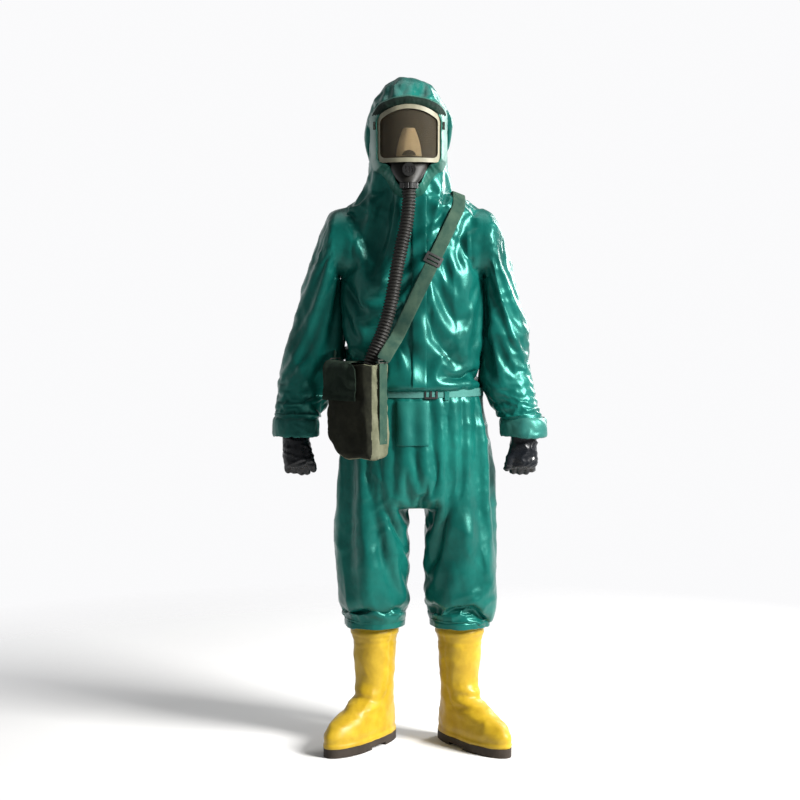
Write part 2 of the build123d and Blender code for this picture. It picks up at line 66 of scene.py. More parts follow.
MASK_X = -9
SHIFT = Vector((middle("mask_visor").x - MASK_X / 1000, middle("upper_sleeve_left").y, 0))
LEG_MID_X = 14
SIDES = {"right": -1, "left": 1}

TRUNK = [  # z, half width, half depth, centre x, centre y
    (686, 212, 134, 10, 0),
    (712, 213, 144, 10, 0),
    (760, 209, 148, 8, 0),
    (860, 197, 143, 4, 0),
    (950, 184, 132, 0, 0),
    (1040, 178, 133, 0, 0),
    (1150, 185, 138, 0, 0),
    (1260, 185, 136, 0, 0),
    (1340, 184, 126, 0, 0),
    (1400, 182, 115, -2, -2),
    (1436, 172, 107, -3, -5),
    (1458, 143, 102, -6, -8),
    (1478, 112, 98, -8, -10),
    (1516, 104, 101, -10, -12),
    (1556, 103, 107, -11, -12),
    (1600, 107, 114, -12, -12),
    (1640, 111, 118, -12, -12),
    (1680, 109, 116, -12, -11),
    (1717, 96, 103, -11, -10),
    (1745, 76, 83, -10, -9),
    (1765, 48, 54, -9, -8),
    (1774, 22, 26, -9, -8),
]
LEG = [  # z, half width, half depth, distance from the leg mid-line, centre y
    (800, 84, 100, 112, 0),
    (700, 96, 108, 113, 0),
    (620, 98, 110, 113, 0),
    (525, 97, 104, 111, 0),
    (470, 94, 101, 111, 0),
    (415, 91, 97, 112, 0),
    (360, 84, 90, 113, 1),
    (325, 78, 84, 114, 2),
    (298, 73, 79, 114, 4),
]
ARMHOLE = (188, 1342, 92)  # x of its plane, z of its middle, radius
SLEEVE = {  # inner point (x, z), outer point (x, z), half depth, centre y, from the armhole to the cuff
    "left": [
        ((186.5, 1250), (186.5, 1434), 92, 0),
        ((189, 1249), (199, 1430), 91, 0),
        ((189, 1228), (252, 1310), 80, 0),
        ((183, 1136), (309, 1136), 66, 0),
        ((184, 1070), (312, 1070), 66, -1),
        ((188, 1004), (318, 1004), 64, -6),
        ((214, 935), (334, 935), 60, -20),
        ((238, 872), (350, 872), 57, -32),
    ],
    "right": [
        ((186.5, 1250), (186.5, 1434), 92, 0),
        ((189, 1249), (200, 1431), 91, 0),
        ((189, 1228), (266, 1314), 81, 0),
        ((181, 1136), (320, 1136), 66, 0),
        ((185, 1070), (338, 1070), 66, -1),
        ((204, 1004), (350, 1004), 64, -6),
        ((234, 935), (356, 935), 60, -20),
        ((250, 872), (362, 872), 57, -32),
    ],
}
CUFF = {"left": (296, -36), "right": (-306, -36)}
SLEEVE_GRID = (62, 68)  # rings along a sleeve and points round it
SEAM_X = 186.5  # where the body ends and the sleeve starts
HEM_Z = 324  # lower edge of the trouser legs
WAIST_Z = 951
LEG_SPLIT_Z = 600  # where each leg becomes a piece of its own
VISOR_HALF, VISOR_BOTTOM, VISOR_SIDE_TOP, VISOR_TOP = 78, 1552, 1655, 1684
BAG_AT, BAG_TURN = (-143, -166), radians(-38)
BAG_BOTTOM, BAG_TOP, BAG_DEPTH, BAG_LEFT, BAG_RIGHT = 788, 1030, 80, -74, 82
CANISTER_X = 28
STRAP_FRONT = [(122, 1450), (-40, 1085)]
STRAP_BACK = [(122, 1450), (-186, 1010)]
HOSE_POINTS = [(-9, -150, 1478), (-9, -150, 1412), (-36, -168, 1300), (-62, -170, 1140)]


def at(x, y, z):
    return Vector((x, y, z)) / 1000 + SHIFT


def points_at(array):
    return np.asarray(array, float) / 1000 + np.array(SHIFT)


def bag_point(x, y, z):
    """Point given in the satchel's own turned axes."""
    return (
        BAG_AT[0] + x * cos(BAG_TURN) - y * sin(BAG_TURN),
        BAG_AT[1] + x * sin(BAG_TURN) + y * cos(BAG_TURN),
        z,
    )


# ------------------------------------------------------------------ materials
class Shader:
    """A material under construction, with short helpers for its nodes."""

    def __init__(self, name, color, roughness, **values):
        self.material = bpy.data.materials.new(name)
        self.material.use_nodes = True
        self.nodes = self.material.node_tree.nodes
        self.links = self.material.node_tree.links
        self.surface = self.nodes["Principled BSDF"]
        self.coordinates = self.nodes.new("ShaderNodeTexCoord").outputs["Object"]
        self.set("Base Color", (*color, 1))
        self.set("Roughness", roughness)
        for key, value in values.items():
            self.set(key.replace("_", " "), value)
        self.height = None

    def set(self, socket, value):
        self.surface.inputs[socket].default_value = value

    def noise(self, scale, detail=4, rough=0.5, stretch=(1, 1, 1)):
        mapping = self.nodes.new("ShaderNodeMapping")
        mapping.inputs["Scale"].default_value = stretch
        self.links.new(self.coordinates, mapping.inputs["Vector"])
        node = self.nodes.new("ShaderNodeTexNoise")
        node.inputs["Scale"].default_value = scale
        node.inputs["Detail"].default_value = detail
        node.inputs["Roughness"].default_value = rough
        self.links.new(mapping.outputs["Vector"], node.inputs["Vector"])
        return node.outputs["Fac"]

    def wave(self, scale, direction="X", distortion=0.0):
        node = self.nodes.new("ShaderNodeTexWave")
        node.bands_direction = direction
        node.inputs["Scale"].default_value = scale
        node.inputs["Distortion"].default_value = distortion
        self.links.new(self.coordinates, node.inputs["Vector"])
        return node.outputs["Fac"]

    def ramp(self, factor, stops):
        node = self.nodes.new("ShaderNodeValToRGB")
        ramp = node.color_ramp
        while len(ramp.elements) < len(stops):
            ramp.elements.new(0.5)
        for element, (place, color) in zip(ramp.elements, stops):
            element.position = place
            element.color = (*color, 1)
        self.links.new(factor, node.inputs["Fac"])
        return node.outputs["Color"]

    def paint(self, factor, stops):
        self.links.new(self.ramp(factor, stops), self.surface.inputs["Base Color"])

    def roughen(self, factor, low, high):
        node = self.nodes.new("ShaderNodeMapRange")
        node.inputs["To Min"].default_value = low
        node.inputs["To Max"].default_value = high
        self.links.new(factor, node.inputs["Value"])
        self.links.new(node.outputs["Result"], self.surface.inputs["Roughness"])

    def fade(self, radius):
        """Lets the surface thin out to nothing at some distance from the middle."""
        mapping = self.nodes.new("ShaderNodeMapping")
        mapping.inputs["Scale"].default_value = (1 / radius, 1 / radius, 1 / radius)
        self.links.new(self.coordinates, mapping.inputs["Vector"])
        ball = self.nodes.new("ShaderNodeTexGradient")
        ball.gradient_type = "SPHERICAL"
        self.links.new(mapping.outputs["Vector"], ball.inputs["Vector"])
        stops = [(0.58, (0, 0, 0)), (0.86, (1, 1, 1))]
        self.links.new(self.ramp(ball.outputs["Fac"], stops), self.surface.inputs["Alpha"])

    def bump(self, factor, distance, strength=1.0):
        node = self.nodes.new("ShaderNodeBump")
        node.inputs["Distance"].default_value = distance
        node.inputs["Strength"].default_value = strength
        self.links.new(factor, node.inputs["Height"])
        if self.height is not None:
            self.links.new(self.height, node.inputs["Normal"])
        self.height = node.outputs["Normal"]
        self.links.new(self.height, self.surface.inputs["Normal"])


def coated_fabric(name, dark, mid, light, roughness):
    """Rubber-coated cloth: fine creases, faint weave under the coating, patchy gloss."""
    shader = Shader(name, mid, roughness, Coat_Weight=0.04, Coat_Roughness=0.2, Specular_IOR_Level=0.6)
    shader.set("Specular Tint", (0.24, 0.85, 0.72, 1))
    shader.paint(shader.noise(7, 6, 0.6), [(0.3, dark), (0.5, mid), (0.72, light)])
    shader.roughen(shader.noise(18, 5, 0.6), roughness - 0.08, roughness + 0.12)
    shader.bump(shader.noise(26, 4, 0.5, (1, 1, 0.6)), 0.003, 0.35)
    shader.bump(shader.noise(120, 3, 0.5), 0.0008, 0.3)
    shader.bump(shader.noise(900, 2, 0.5), 0.0002, 0.35)
    return shader.material


def rubber(name, color, lighter, roughness, grain=160):
    shader = Shader(name, color, roughness, Specular_IOR_Level=0.32)
    shader.paint(shader.noise(22, 5, 0.6), [(0.35, color), (0.75, lighter)])
    shader.roughen(shader.noise(40, 4), roughness - 0.07, roughness + 0.1)
    shader.bump(shader.noise(grain, 3), 0.0006, 0.4)
    return shader.material


def canvas(name, dark, light, thread=420):
    shader = Shader(name, light, 0.9, Specular_IOR_Level=0.15)
    shader.paint(shader.noise(26, 6, 0.65), [(0.3, dark), (0.7, light)])
    shader.bump(shader.wave(thread, "X", 0.6), 0.0005, 0.5)
    shader.bump(shader.wave(thread, "Z", 0.6), 0.0005, 0.5)
    shader.bump(shader.noise(60, 4), 0.0015, 0.35)
    return shader.material


def metal(name, color, roughness):
    shader = Shader(name, color, roughness, Metallic=1.0)
    shader.roughen(shader.noise(90, 4), roughness - 0.08, roughness + 0.15)
    shader.bump(shader.noise(300, 2), 0.0002, 0.4)
    return shader.material


def lens(name):
    shader = Shader(name, (0.80, 0.70, 0.52), 0.05, Transmission_Weight=0.97, IOR=1.12)
    shader.set("Coat Weight", 0.06)
    shader.roughen(shader.noise(30, 4), 0.03, 0.1)
    return shader.material


SUIT = coated_fabric("suit_fabric", (0.001, 0.038, 0.031), (0.002, 0.066, 0.055), (0.006, 0.11, 0.09), 0.31)
HOOD = coated_fabric("suit_hood", (0.006, 0.045, 0.034), (0.014, 0.075, 0.054), (0.035, 0.125, 0.095), 0.4)
TRIM = coated_fabric("suit_trim", (0.006, 0.058, 0.05), (0.014, 0.09, 0.078), (0.04, 0.15, 0.125), 0.42)
BELT = coated_fabric("suit_belt", (0.02, 0.09, 0.08), (0.045, 0.13, 0.115), (0.07, 0.18, 0.16), 0.55)
PATCH = coated_fabric("suit_patch", (0.002, 0.045, 0.04), (0.005, 0.075, 0.064), (0.012, 0.11, 0.09), 0.36)
INSIDE = canvas("suit_lining", (0.035, 0.022, 0.005), (0.09, 0.055, 0.014))
# Near-black green painted shade: the shadow under the hood's brim, just above the visor.
BRIM_PAINTED_SHADE = canvas("hood_brim_painted_shade", (0.001, 0.007, 0.004), (0.003, 0.016, 0.010))
BLACK = rubber("black_rubber", (0.005, 0.005, 0.004), (0.014, 0.013, 0.011), 0.5)
GLOVE = rubber("glove_rubber", (0.003, 0.004, 0.006), (0.009, 0.011, 0.014), 0.26, 90)
YELLOW = rubber("boot_rubber", (0.34, 0.215, 0.009), (0.47, 0.315, 0.018), 0.4)
SOLE = rubber("sole_rubber", (0.018, 0.012, 0.008), (0.04, 0.03, 0.022), 0.7)
CREAM = rubber("frame_plastic", (0.15, 0.145, 0.10), (0.27, 0.255, 0.185), 0.42)
PALE = rubber("nose_rubber", (0.40, 0.37, 0.34), (0.52, 0.48, 0.45), 0.55)
PLASTIC = rubber("dark_plastic", (0.006, 0.006, 0.006), (0.014, 0.014, 0.014), 0.4)
# Darker canvas is painted shade for the satchel's front, the side turned away from the key light.
SHADE_PAINTED_CANVAS = canvas("canvas_dark", (0.007, 0.008, 0.005), (0.02, 0.021, 0.013))
FLAP_CANVAS = canvas("canvas_flap", (0.006, 0.013, 0.009), (0.018, 0.03, 0.02))
KHAKI = canvas("canvas_khaki", (0.08, 0.085, 0.05), (0.16, 0.165, 0.11))
WEBBING = canvas("webbing", (0.012, 0.04, 0.03), (0.045, 0.08, 0.055), 260)
METAL = metal("small_metal", (0.085, 0.085, 0.075), 0.48)
DRUM = rubber("canister_paint", (0.07, 0.09, 0.05), (0.11, 0.13, 0.08), 0.5)
FELT = canvas("insole_felt", (0.1, 0.09, 0.08), (0.2, 0.19, 0.17))
LENS = lens("visor_amber")


# ------------------------------------------------------------------ mesh helpers
def new_object(name, vertices, faces, material, smooth=True):
    mesh = bpy.data.meshes.new(name)
    mesh.from_pydata([tuple(v) for v in vertices], [], [tuple(f) for f in faces])
    mesh.update()
    made = bpy.data.objects.new(name, mesh)
    bpy.context.scene.collection.objects.link(made)
    mesh.materials.append(material)
    if smooth:
        mesh.polygons.foreach_set("use_smooth", [True] * len(mesh.polygons))
    return made


def grid_faces(rows, columns, closed=True):
    """Quads over a grid of points; closed joins the last column to the first."""
    faces = []
    for r in range(rows - 1):
        for c in range(columns if closed else columns - 1):
            d = (c + 1) % columns
            faces.append((r * columns + c, r * columns + d, (r + 1) * columns + d, (r + 1) * columns + c))
    return faces


def smooth_rows(rows, count):
    """Rows of numbers filled in smoothly to count rows, evenly spaced along their length."""
    rows = np.array(rows, float)
    steps = np.linalg.norm(np.diff(rows, axis=0), axis=1)
    length = np.concatenate(([0.0], np.cumsum(steps)))
    slope = np.gradient(rows, length, axis=0)
    t = np.linspace(0, length[-1], count)
    i = np.clip(np.searchsorted(length, t, side="right") - 1, 0, len(rows) - 2)
    h = (length[i + 1] - length[i])[:, None]
    u = ((t - length[i]) / (length[i + 1] - length[i]))[:, None]
    blend = 2 * u**3 - 3 * u**2 + 1
    near = (u**3 - 2 * u**2 + u) * h * slope[i]
    far = (u**3 - u**2) * h * slope[i + 1]
    return blend * rows[i] + near + (1 - blend) * rows[i + 1] + far


def oval_points(rows, around):
    """Ring points for level ovals (z, half width, half depth, x, y)."""
    turn = np.linspace(0, 2 * pi, around, endpoint=False)
    made = []
    for z, half_x, half_y, x, y in rows:
        ring = [x + half_x * np.cos(turn), y + half_y * np.sin(turn), np.full(around, z)]
        made.append(np.stack(ring, axis=1))
    return np.array(made)


def closed_tube(points):
    """(vertices, faces) of a tube with both ends capped."""
    rows, around, _ = points.shape
    faces = grid_faces(rows, around)
    faces.append(tuple(range(around))[::-1])
    faces.append(tuple(range((rows - 1) * around, rows * around)))
    return points.reshape(-1, 3), faces


def joined(parts):
    vertices, faces, start = [], [], 0
    for part_vertices, part_faces in parts:
        vertices.extend(part_vertices)
        faces.extend([tuple(i + start for i in face) for face in part_faces])
        start += len(part_vertices)
    return vertices, faces


def evaluated(made):
    """Mesh of an object with its modifiers applied."""
    bpy.context.view_layer.update()
    graph = bpy.context.evaluated_depsgraph_get()
    return bpy.data.meshes.new_from_object(made.evaluated_get(graph))


def apply_modifiers(made):
    mesh = evaluated(made)
    made.modifiers.clear()
    old = made.data
    made.data = mesh
    bpy.data.meshes.remove(old)
    return made


def remesh(made, voxel, smoothing=0):
    modifier = made.modifiers.new("remesh", "REMESH")
    modifier.mode = "VOXEL"
    modifier.voxel_size = voxel
    modifier.use_smooth_shade = True
    if smoothing:
        soft = made.modifiers.new("smooth", "SMOOTH")
        soft.factor = 0.5
        soft.iterations = smoothing
    return apply_modifiers(made)


def coordinates(mesh):
    flat = np.empty(len(mesh.vertices) * 3)
    mesh.vertices.foreach_get("co", flat)
    return flat.reshape(-1, 3)


def set_coordinates(mesh, points):
    mesh.vertices.foreach_set("co", np.asarray(points, float).ravel())
    mesh.update()


def normals(mesh):
    flat = np.empty(len(mesh.vertices) * 3)
    mesh.vertex_normals.foreach_get("vector", flat)
    return flat.reshape(-1, 3)


def face_out(made):
    """Turns every face outwards."""
    work = bmesh.new()
    work.from_mesh(made.data)
    bmesh.ops.recalc_face_normals(work, faces=work.faces)
    work.to_mesh(made.data)
    work.free()
    return made


def subdivide(made, levels=1):
    modifier = made.modifiers.new("subdivide", "SUBSURF")
    modifier.levels = levels
    modifier.render_levels = levels
    return apply_modifiers(made)


def ridged(points, scale, seed, stretch=(1, 1, 1)):
    """Sharp-crested crumple pattern, from 0 to 1."""
    offset = Vector((seed * 3.1, seed * 1.7, seed * 2.3))
    made = np.empty(len(points))
    for i, (x, y, z) in enumerate(points):
        place = Vector((x * stretch[0], y * stretch[1], z * stretch[2])) * scale + offset
        warp = noise.noise(place * 0.45) * 1.4
        made[i] = 1 - min(1.0, abs(noise.noise(place + Vector((warp, warp, -warp)))) * 2.2)
    return made


def crumple(made, heights, mask=None):
    """Pushes a mesh out along its normals by ridged patterns (scale, height in mm, stretch)."""
    mesh = made.data
    points = coordinates(mesh)
    push = np.zeros(len(points))
    for seed, (scale, height, stretch) in enumerate(heights, start=1):
        push += (ridged(points, scale, seed, stretch) - 0.45) * height / 1000
    if mask is not None:
        push *= mask(points)
    set_coordinates(mesh, points + normals(mesh) * push[:, None])
    return made


def cut(made, place, direction):
    """Adds an edge loop where a plane crosses the mesh."""
    work = bmesh.new()
    work.from_mesh(made.data)
    everything = work.verts[:] + work.edges[:] + work.faces[:]
    bmesh.ops.bisect_plane(work, geom=everything, plane_co=place, plane_no=direction, dist=0.0005)
    work.to_mesh(made.data)
    work.free()


def seam_shading(points, shading):
    """Shading turned to the armhole's radius near its seam, so that body and sleeve run into each other."""
    own = (points - np.array(SHIFT)) * 1000
    radial = np.stack([np.zeros(len(own)), own[:, 1], own[:, 2] - ARMHOLE[1]], axis=1)
    reach = np.linalg.norm(radial, axis=1, keepdims=True)
    radial /= np.maximum(reach, 1e-6)
    near = np.clip(1 - np.abs(np.abs(own[:, 0]) - SEAM_X) / 26, 0, 1)
    near = near * near * (3 - 2 * near) * (np.abs(reach[:, 0] - ARMHOLE[2]) < 14)
    mixed = shading * (1 - near[:, None]) + radial * near[:, None]
    return mixed / np.linalg.norm(mixed, axis=1, keepdims=True)


def pick(source, name, wanted):
    """Piece of a mesh whose face centres are wanted, shaded as it was in the whole."""
    mesh = source.data
    points = coordinates(mesh)
    shading = seam_shading(points, normals(mesh))
    faces = [tuple(p.vertices) for p in mesh.polygons if wanted(p.center)]
    used = sorted({i for face in faces for i in face})
    order = {old: new for new, old in enumerate(used)}
    piece = new_object(name, points[used], [[order[i] for i in face] for face in faces], mesh.materials[0])
    piece.data.normals_split_custom_set_from_vertices([tuple(n) for n in shading[used]])
    return piece


def finish_piece(piece, body, nodes=()):
    """Rides a piece on its body and lets it stand for CAD nodes."""
    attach(piece, body)
    if nodes:
        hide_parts(*nodes)
    return piece


# ------------------------------------------------------------------ coverall
def leg_rows(side, grow=0):
    return [(z, hx + grow, hy + grow, LEG_MID_X + side * spread, y) for z, hx, hy, spread, y in LEG]


def stub_points(side, radius, reach):
    """Round armhole stub from the trunk outwards."""
    turn = np.linspace(0, 2 * pi, 64, endpoint=False)
    depth, height = radius * np.cos(turn) * side, ARMHOLE[1] + radius * np.sin(turn)
    rows = [np.stack([np.full(64, side * x), depth, height], axis=1) for x in np.linspace(90, reach, 10)]
    return np.array(rows)


def body_mesh(name, grow, reach, voxel):
    """Trunk, hood, legs and armhole stubs in one skin."""
    rows = [(z, hx + grow, hy + grow, x, y) for z, hx, hy, x, y in TRUNK]
    parts = [closed_tube(points_at(oval_points(smooth_rows(rows, 120), 96)))]
    for side in SIDES.values():
        parts.append(closed_tube(points_at(oval_points(smooth_rows(leg_rows(side, grow), 60), 64))))
        parts.append(closed_tube(points_at(stub_points(side, ARMHOLE[2] + grow, reach))))
    return remesh(new_object(name, *joined(parts), SUIT), voxel)


def armhole_distance(points):
    """Distance from the shoulder axis in mm, for points near an armhole."""
    own = (points - np.array(SHIFT)) * 1000
    return np.hypot(own[:, 1], own[:, 2] - ARMHOLE[1])


def in_visor(x, z, grow):
    """True inside the visor's outline, in the suit's own millimetres."""
    half = VISOR_HALF + grow
    across = (x - MASK_X) / half
    top = VISOR_TOP + grow - (VISOR_TOP - VISOR_SIDE_TOP + grow / 2) * across**2
    return (np.abs(across) < 1) & (z > VISOR_BOTTOM - grow) & (z < top)


def open_body(made):
    """Removes the caps at the armholes and hems, and the face opening."""
    cut(made, at(SEAM_X, 0, 0), (1, 0, 0))
    cut(made, at(-SEAM_X, 0, 0), (1, 0, 0))
    cut(made, at(0, 0, HEM_Z), (0, 0, 1))
    work = bmesh.new()
    work.from_mesh(made.data)
    gone = []
    for vertex in work.verts:
        x, y, z = (vertex.co - SHIFT) * 1000
        cap = abs(x) > SEAM_X + 0.3 and (y**2 + (z - ARMHOLE[1]) ** 2) ** 0.5 < ARMHOLE[2] + 8
        hem = z < HEM_Z - 0.3
        face = y < -20 and bool(in_visor(np.array(x), np.array(z), 10))
        chin = y < -60 and abs(x - MASK_X) < 40 and 1494 < z < VISOR_BOTTOM
        if cap or hem or face or chin:
            gone.append(vertex)
    bmesh.ops.delete(work, geom=gone, context="VERTS")
    work.to_mesh(made.data)
    work.free()
    return made


def ribbon_distance(x, z, line):
    """Distance in the front plane from points to a straight run."""
    (x0, z0), (x1, z1) = line
    run = np.array([x1 - x0, z1 - z0], float)
    t = np.clip(((x - x0) * run[0] + (z - z0) * run[1]) / (run @ run), 0, 1)
    return np.hypot(x - x0 - t * run[0], z - z0 - t * run[1])


def held_body(points):
    """How firmly each point of the body is held: edges, belt and strap hold the cloth down."""
    own = (points - np.array(SHIFT)) * 1000
    x, y, z = own.T
    hold = np.zeros(len(own))
    hold[z < HEM_Z + 44] = 0.3
    hold[z < HEM_Z + 28] = 0.6
    hold[z < HEM_Z + 15] = 1
    hold[np.abs(z - WAIST_Z) < 10] = 1
    hold[np.abs(x) > 176] = np.where(armhole_distance(points)[np.abs(x) > 176] < ARMHOLE[2] + 6, 1, 0)
    near_face = (y < -10) & in_visor(x, z, 24)
    hold[near_face] = 1
    hold[(y < -60) & (np.abs(x - MASK_X) < 50) & (z > 1484) & (z < VISOR_BOTTOM)] = 1
    front = (y < 0) & (ribbon_distance(x, z, STRAP_FRONT) < 20) & (z < 1478)
    back = (y >= 0) & (ribbon_distance(x, z, STRAP_BACK) < 20) & (z < 1478)
    hold[front | back] = np.maximum(hold[front | back], 0.9)
    return hold


def sleeve_points(side_name, shrink, rows, around):
    """Ring points of a sleeve."""
    side = SIDES[side_name]
    flat = [(xi, zi, xo, zo, depth, y) for (xi, zi), (xo, zo), depth, y in SLEEVE[side_name]]
    turn = np.linspace(0, 2 * pi, around, endpoint=False)
    made = []
    for xi, zi, xo, zo, depth, y in smooth_rows(flat, rows):
        centre = np.array([(xi + xo) / 2 * side, y, (zi + zo) / 2])
        reach = np.array([(xo - xi) / 2 * side, 0, (zo - zi) / 2])
        reach *= 1 - shrink / np.linalg.norm(reach)
        ring = centre + np.outer(np.cos(turn), reach) + np.outer(np.sin(turn), [0, depth - shrink, 0])
        made.append(ring)
    return points_at(made)


def add_cloth(made, hold, growth, bending):
    group = made.vertex_groups.new(name="held")
    for level in np.unique(hold[hold > 0]):
        group.add([int(i) for i in np.nonzero(hold == level)[0]], float(level), "REPLACE")
    cloth = made.modifiers.new("cloth", "CLOTH")
    settings = cloth.settings
    settings.quality = 6
    settings.mass = 0.35
    settings.tension_stiffness = 25
    settings.compression_stiffness = 25
    settings.shear_stiffness = 12
    settings.bending_stiffness = bending
    settings.tension_damping = 12
    settings.compression_damping = 12
    settings.shear_damping = 12
    settings.bending_damping = 1
    settings.air_damping = 2
    settings.shrink_min = -growth
    settings.vertex_group_mass = "held"
    settings.pin_stiffness = 2
    cloth.collision_settings.distance_min = 0.004
    cloth.collision_settings.collision_quality = 2
    cloth.collision_settings.use_self_collision = False


def add_collider(made):
    made.modifiers.new("collision", "COLLISION")
    made.collision.thickness_outer = 0.004
    made.collision.cloth_friction = 12


def settle(cloths, colliders, frames, cap):
    """Runs the cloth simulation, keeps its result and drops the colliders."""
    start = [coordinates(made.data) for made in cloths]
    for number in range(1, frames + 1):
        bpy.context.scene.frame_set(number)
    for made, before in zip(cloths, start):
        mesh = evaluated(made)
        moved = coordinates(mesh) - before
        length = np.linalg.norm(moved, axis=1, keepdims=True)
        moved *= np.minimum(1, cap / np.maximum(length, 1e-9))
        made.modifiers.clear()
        made.vertex_groups.clear()
        after = before + moved
        after[:, 2] = np.maximum(after[:, 2], np.minimum(before[:, 2], HEM_Z / 1000 + 0.008))
        set_coordinates(made.data, after)
        bpy.data.meshes.remove(mesh)
    bpy.context.scene.frame_set(1)
    for made in colliders:
        bpy.data.objects.remove(made)


def make_garment():
    """Body and sleeves, draped over hidden forms so that the extra cloth falls into folds."""
    body = open_body(body_mesh("garment", 0, 204, 0.0095))
    sleeves = {}
    for name in SIDES:
        points = sleeve_points(name, 0, *SLEEVE_GRID).reshape(-1, 3)
        sleeves[name] = face_out(new_object("sleeve_" + name, points, grid_faces(*SLEEVE_GRID), SUIT))
    add_cloth(body, held_body(coordinates(body.data)), 0.065, 14)
    form = body_mesh("form", -22, 150, 0.014)
    add_collider(form)
    forms = [form]
    for name, sleeve in sleeves.items():
        hold = np.zeros(SLEEVE_GRID)
        hold[:14] = np.round(np.linspace(1, 0.1, 14), 2)[:, None]
        hold[:3] = 1
        hold[-3:] = 1
        add_cloth(sleeve, hold.ravel(), 0.07, 8)
        inner = sleeve_points(name, 13, 40, 40)
        form = face_out(new_object("form_" + name, *closed_tube(inner), SUIT))
        add_collider(form)
        forms.append(form)
    settle([body, *sleeves.values()], forms, 30, 0.034)
    return body, sleeves


def body_mask(points):
    """Keeps the crumple off the edges that other pieces meet."""
    own = (points - np.array(SHIFT)) * 1000
    x, y, z = own.T
    mask = np.clip((armhole_distance(points) - ARMHOLE[2] - 3) / 25, 0, 1)
    mask = np.where(np.abs(x) > 150, mask, 1)
    mask = np.where((y < -10) & in_visor(x, z, 26), 0.15, mask)
    mask *= np.clip(np.abs(z - WAIST_Z) / 22, 0.1, 1) * np.clip((1560 - z) / 90, 0.45, 1)
    mask *= np.clip((z - HEM_Z - 6) / 45, 0.05, 1)
    strap = np.where(y < 0, ribbon_distance(x, z, STRAP_FRONT), ribbon_distance(x, z, STRAP_BACK))
    return mask * np.clip((strap - 14) / 16, 0.1, 1)


body, sleeves = make_garment()
subdivide(body)
crumple(body, [(4.6, 11, (1.7, 1.7, 0.5)), (12, 2.5, (1, 1, 1.3)), (34, 0.5, (1, 1, 1))], body_mask)
skin_tree = BVHTree.FromPolygons(
    [v.co for v in body.data.vertices], [tuple(p.vertices) for p in body.data.polygons]
)

cut(body, at(0, 0, WAIST_Z), (0, 0, 1))
cut(body, at(0, 0, LEG_SPLIT_Z), (0, 0, 1))
cut(body, at(LEG_MID_X, 0, 0), (1, 0, 0))
waist = at(0, 0, WAIST_Z).z
leg_split = at(0, 0, LEG_SPLIT_Z).z
mid_x = at(LEG_MID_X, 0, 0).x

torso = pick(body, "coverall_torso", lambda c: c.z > waist)
finish_piece(torso, "suit", ["suit_torso", "hood_shell"])
for side_name, side in SIDES.items():
    seat = pick(
        body,
        "coverall_seat_" + side_name,
        lambda c: leg_split < c.z < waist and (c.x - mid_x) * side > 0,
    )
    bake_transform(seat)
    leg = pick(body, "coverall_leg_" + side_name, lambda c: c.z < leg_split and (c.x - mid_x) * side > 0)
    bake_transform(leg)
    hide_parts(*[n + side_name for n in ("thigh_", "knee_bend_", "shin_", "trouser_hem_")])
    if side_name == "left":
        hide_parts("trouser_seat")
bpy.data.objects.remove(body)


def hem_band(side_name):
    """Turned and stitched edge at the foot of a trouser leg."""
    rows = smooth_rows(leg_rows(SIDES[side_name])[::-1], 200)
    low = rows[np.argmin(np.abs(rows[:, 0] - HEM_Z))]
    high = rows[np.argmin(np.abs(rows[:, 0] - HEM_Z - 20))]
    outline = [(high, 20, -0.5), (high, 20, 1.5), (low, 17, 3.2), (low, 16, 2.0), (low, 14, 3.4)]
    outline += [(low, 4, 3.6), (low, -2, 3), (low, -3, 1), (low, -1, -1.5), (low, 8, -2)]
    rings = [(HEM_Z + up, row[1] + grow, row[2] + grow, row[3], row[4]) for row, up, grow in outline]
    points = points_at(oval_points(smooth_rows(rings, 30), 90))
    band = new_object("trouser_hem_band_" + side_name, points.reshape(-1, 3), grid_faces(30, 90), SUIT)
    return crumple(band, [(13, 3.5, (1, 1, 0.3)), (30, 1.2, (1, 1, 0.4))])


for side_name in SIDES:
    finish_piece(hem_band(side_name), "lower_leg_" + side_name)


def sleeve_mask(points):
    own = (points - np.array(SHIFT)) * 1000
    low = np.clip((ARMHOLE[1] - own[:, 2]) / ARMHOLE[2], 0, 1)
    away = np.clip((np.abs(own[:, 0]) - SEAM_X - 2) / 30, 0, 1)
    away = np.where(own[:, 2] > ARMHOLE[1] - ARMHOLE[2], away, np.maximum(away, low))
    return away * np.clip((own[:, 2] - 868) / 30, 0.2, 1)


for side_name, sleeve in sleeves.items():
    subdivide(sleeve)
    crumple(sleeve, [(5.5, 9, (1.5, 1.5, 0.7)), (14, 2.5, (1, 1, 1.4)), (36, 0.5, (1, 1, 1))], sleeve_mask)
    shading = seam_shading(coordinates(sleeve.data), normals(sleeve.data))
    sleeve.data.normals_split_custom_set_from_vertices([tuple(n) for n in shading])
    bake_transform(sleeve)
    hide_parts(*[n + side_name for n in ("upper_sleeve_", "elbow_bend_", "forearm_sleeve_")])


# ------------------------------------------------------------------ things laid on the suit
def on_skin(x, z, front=True, off=2.0):
    """Point on the suit's surface seen from the front or the back, lifted off it by some mm."""
    start = at(x, -400 if front else 400, z)
    hit, normal, _, _ = skin_tree.ray_cast(start, Vector((0, 1 if front else -1, 0)))
    if hit is None:
        return at(x, 0, z)
    return hit + Vector((0, -off if front else off, 0)) / 1000


def over_skin(x, y, off):
    """Point on the suit seen from above, lifted off it by some mm, in the suit's own millimetres."""
    hit, _, _, _ = skin_tree.ray_cast(at(x, y, 1700), Vector((0, 0, -1)))
    return (np.array(hit) - np.array(SHIFT)) * 1000 + [0, 0, off]


